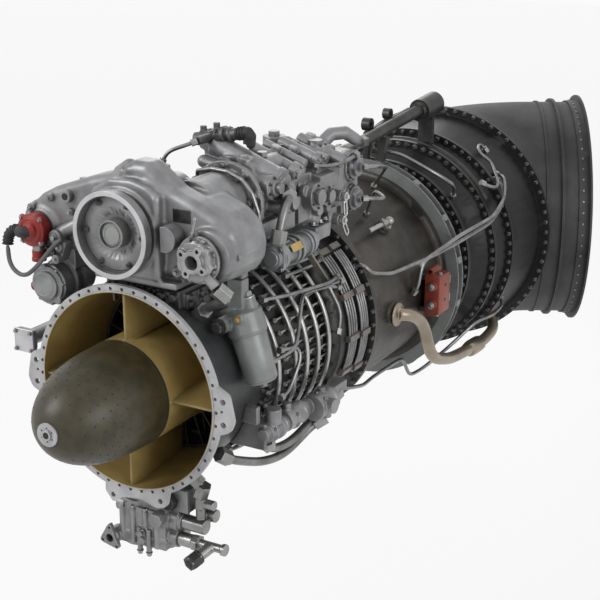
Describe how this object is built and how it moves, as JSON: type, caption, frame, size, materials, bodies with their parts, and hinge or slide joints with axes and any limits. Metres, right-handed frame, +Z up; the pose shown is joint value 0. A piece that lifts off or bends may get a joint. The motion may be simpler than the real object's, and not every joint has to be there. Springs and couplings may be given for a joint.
{
  "type": "turboshaft engine",
  "caption": "Turboshaft engine: annular intake with nose cone, top accessory gearbox, compressor with variable-vane rings, combustor, turbines and a side-turned exhaust duct.",
  "frame": {"origin": "centre of the front face of the inlet flange, on the engine axis", "axes": "+Y along the engine axis from the inlet to the output coupling, -Y out of the inlet, +Z up, +X towards the side that the exhaust turns to"},
  "size_m": [0.6711, 2.078, 0.751],
  "materials": {
    "inlet_grey": "semi-matt grey paint",
    "nose_olive": "satin olive-brown paint",
    "bright_steel": "machined",
    "steel": "satin",
    "dark_steel": "dark",
    "heat_stained": "brown heat stain",
    "burnt_steel": "blackened",
    "grey_green": "matt paint",
    "cast_aluminium": "rough cast",
    "dark_cast": "rough cast, dark",
    "brass_fittings": "dull",
    "red_plastic": "matt",
    "black_rubber": "matt",
    "grey_cable": "matt sheath",
    "red_brown": "gloss paint",
    "tan_titanium": "heat-tinted"
  },
  "bodies": {
    "stator": {"inlet_frame": "inlet_grey", "nose_cone": "nose_olive", "nose_cap": "bright_steel", "guide_vanes": "steel", "compressor_case": "dark_steel", "rear_case": "dark_steel", "stator_vanes": "steel", "combustor_case": "heat_stained", "flame_tube": "heat_stained", "fuel_nozzles": "steel", "igniters": "brass_fittings", "mount_ring": "grey_green", "turbine_case": "burnt_steel", "interstage_case": "burnt_steel", "power_case_front": "burnt_steel", "power_case_rear": "burnt_steel", "turbine_nozzles": "burnt_steel", "shaft_housing": "steel", "exhaust_duct": "burnt_steel", "exhaust_lip": "burnt_steel", "flange_bolts": "burnt_steel", "gearbox_case": "cast_aluminium", "gearbox_saddle": "dark_cast", "starter_pad": "bright_steel", "square_pad": "cast_aluminium", "red_caps": "red_plastic", "cap_elbow": "black_rubber", "sense_cable": "grey_cable", "left_pump": "cast_aluminium", "left_port": "dark_cast", "fuel_pump": "cast_aluminium", "fuel_control": "cast_aluminium", "control_caps": "bright_steel", "start_valve": "dark_cast", "filter_head": "grey_green", "filter_bowl": "grey_green", "vane_actuator": "grey_green", "side_pumps": "dark_cast", "oil_pump": "cast_aluminium", "oil_fittings": "dark_cast", "ignition_box": "red_brown", "bleed_pipe": "tan_titanium", "tube_bundles": "bright_steel", "oil_pipes": "steel", "fuel_pipes": "bright_steel", "hot_pipes": "bright_steel", "pipe_nuts": "bright_steel", "pipe_clamps": "steel", "top_conduit": "dark_cast"},
    "gas_rotor": {"gas_rotor": "steel"},
    "power_rotor": {"power_rotor": "steel"},
    "tower": {"tower_shaft": "steel"},
    "starter": {"starter_drive": "cast_aluminium"},
    "throttle": {"throttle_lever": "bright_steel"},
    "governor": {"governor_lever": "bright_steel"},
    "ring_1": {"unison_ring_1": "bright_steel"},
    "ring_2": {"unison_ring_2": "bright_steel"},
    "ring_3": {"unison_ring_3": "bright_steel"},
    "ring_4": {"unison_ring_4": "bright_steel"},
    "ring_5": {"unison_ring_5": "bright_steel"}
  },
  "joints": [
    {"name": "gas_spin", "type": "hinge", "parent": "stator", "child": "gas_rotor", "pos_m": [0, 0.5, 0], "axis": [0, 1, 0], "continuous": true},
    {"name": "power_spin", "type": "hinge", "parent": "stator", "child": "power_rotor", "pos_m": [0, 1.5, 0], "axis": [0, 1, 0], "continuous": true},
    {"name": "tower_spin", "type": "hinge", "parent": "stator", "child": "tower", "pos_m": [0, 0.12, 0.15], "axis": [0, 0, 1], "continuous": true},
    {"name": "starter_spin", "type": "hinge", "parent": "stator", "child": "starter", "pos_m": [0, 0, 0.286], "axis": [0, 1, 0], "continuous": true},
    {"name": "vane_ring_1", "type": "hinge", "parent": "stator", "child": "ring_1", "pos_m": [0, 0.2, 0], "axis": [0, 1, 0], "range_deg": [-3, 3]},
    {"name": "vane_ring_2", "type": "hinge", "parent": "stator", "child": "ring_2", "pos_m": [0, 0.259, 0], "axis": [0, 1, 0], "range_deg": [-3, 3]},
    {"name": "vane_ring_3", "type": "hinge", "parent": "stator", "child": "ring_3", "pos_m": [0, 0.301, 0], "axis": [0, 1, 0], "range_deg": [-3, 3]},
    {"name": "vane_ring_4", "type": "hinge", "parent": "stator", "child": "ring_4", "pos_m": [0, 0.343, 0], "axis": [0, 1, 0], "range_deg": [-3, 3]},
    {"name": "vane_ring_5", "type": "hinge", "parent": "stator", "child": "ring_5", "pos_m": [0, 0.384, 0], "axis": [0, 1, 0], "range_deg": [-3, 3]},
    {"name": "throttle_turn", "type": "hinge", "parent": "stator", "child": "throttle", "pos_m": [0.168, 0.47, 0.266], "axis": [1, 0, 0], "range_deg": [-35, 35]},
    {"name": "governor_turn", "type": "hinge", "parent": "stator", "child": "governor", "pos_m": [0.168, 0.462, 0.222], "axis": [1, 0, 0], "range_deg": [-35, 35]}
  ],
  "couplings": [
    {"joint": "tower_spin", "follows": "gas_spin", "ratio": 3.5714},
    {"joint": "starter_spin", "follows": "gas_spin", "ratio": -1.3889},
    {"joint": "vane_ring_2", "follows": "vane_ring_1", "ratio": 1},
    {"joint": "vane_ring_3", "follows": "vane_ring_1", "ratio": 1},
    {"joint": "vane_ring_4", "follows": "vane_ring_1", "ratio": 1},
    {"joint": "vane_ring_5", "follows": "vane_ring_1", "ratio": 1}
  ]
}
